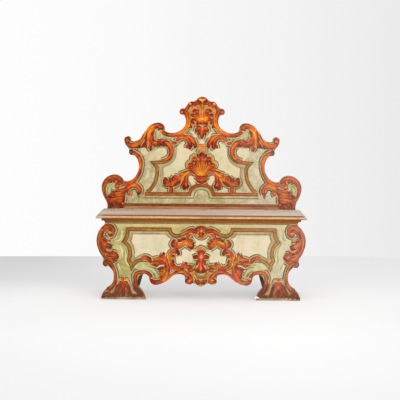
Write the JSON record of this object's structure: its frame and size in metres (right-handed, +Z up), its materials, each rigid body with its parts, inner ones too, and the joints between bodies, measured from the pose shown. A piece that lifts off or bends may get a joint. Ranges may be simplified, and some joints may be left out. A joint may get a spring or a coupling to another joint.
{
  "type": "cassapanca",
  "caption": "Painted chest bench: a scrolled front board on shaped feet, a hinged seat that is the lid, and a tall back cut into scrolls and a shell crest.",
  "frame": {"origin": "on the floor, under the middle of the bench", "axes": "+X to the right along the bench seen from the front, +Y to the back, +Z up"},
  "size_m": [1.4002, 0.514, 1.362],
  "materials": {
    "painted_boards": "satin paint",
    "painted_ends": "satin paint",
    "painted_cornice": "satin paint",
    "painted_seat": "worn paint",
    "bare_wood": "bare, aged",
    "iron": "wrought, dark"
  },
  "bodies": {
    "chest": {"front_board": "painted_boards", "backrest_board": "painted_boards", "left_end_board": "painted_ends", "right_end_board": "painted_ends", "cornice_front": "painted_cornice", "cornice_left": "painted_cornice", "cornice_right": "painted_cornice", "hinge_rail": "painted_seat", "hinge_rail_left_moulding": "painted_seat", "hinge_rail_right_moulding": "painted_seat", "rear_board": "bare_wood", "floor_front_plank": "bare_wood", "floor_rear_plank": "bare_wood", "floor_front_cleat": "bare_wood", "floor_rear_cleat": "bare_wood", "floor_left_cleat": "bare_wood", "floor_right_cleat": "bare_wood", "front_left_corner_block": "bare_wood", "front_left_leg_block": "bare_wood", "front_right_corner_block": "bare_wood", "front_right_leg_block": "bare_wood", "rear_left_corner_block": "bare_wood", "rear_left_leg_block": "bare_wood", "rear_right_corner_block": "bare_wood", "rear_right_leg_block": "bare_wood", "backrest_left_batten": "bare_wood", "backrest_centre_batten": "bare_wood", "backrest_right_batten": "bare_wood", "left_hinge_rail_leaf": "iron", "left_hinge_pin": "iron", "centre_hinge_rail_leaf": "iron", "centre_hinge_pin": "iron", "right_hinge_rail_leaf": "iron", "right_hinge_pin": "iron", "hinge_rail_screws": "iron", "backrest_batten_screws": "iron"},
    "lid": {"lid_front_plank": "painted_seat", "lid_rear_plank": "painted_seat", "lid_front_moulding": "painted_seat", "lid_left_moulding": "painted_seat", "lid_right_moulding": "painted_seat", "lid_left_batten": "bare_wood", "lid_right_batten": "bare_wood", "left_hinge_lid_leaf": "iron", "centre_hinge_lid_leaf": "iron", "right_hinge_lid_leaf": "iron", "hinge_lid_screws": "iron", "lid_batten_screws": "iron"}
  },
  "joints": [
    {"name": "lid_hinge", "type": "hinge", "parent": "chest", "child": "lid", "pos_m": [0, 0.157, 0.575], "axis": [-1, 0, 0], "range_deg": [0, 96]}
  ]
}
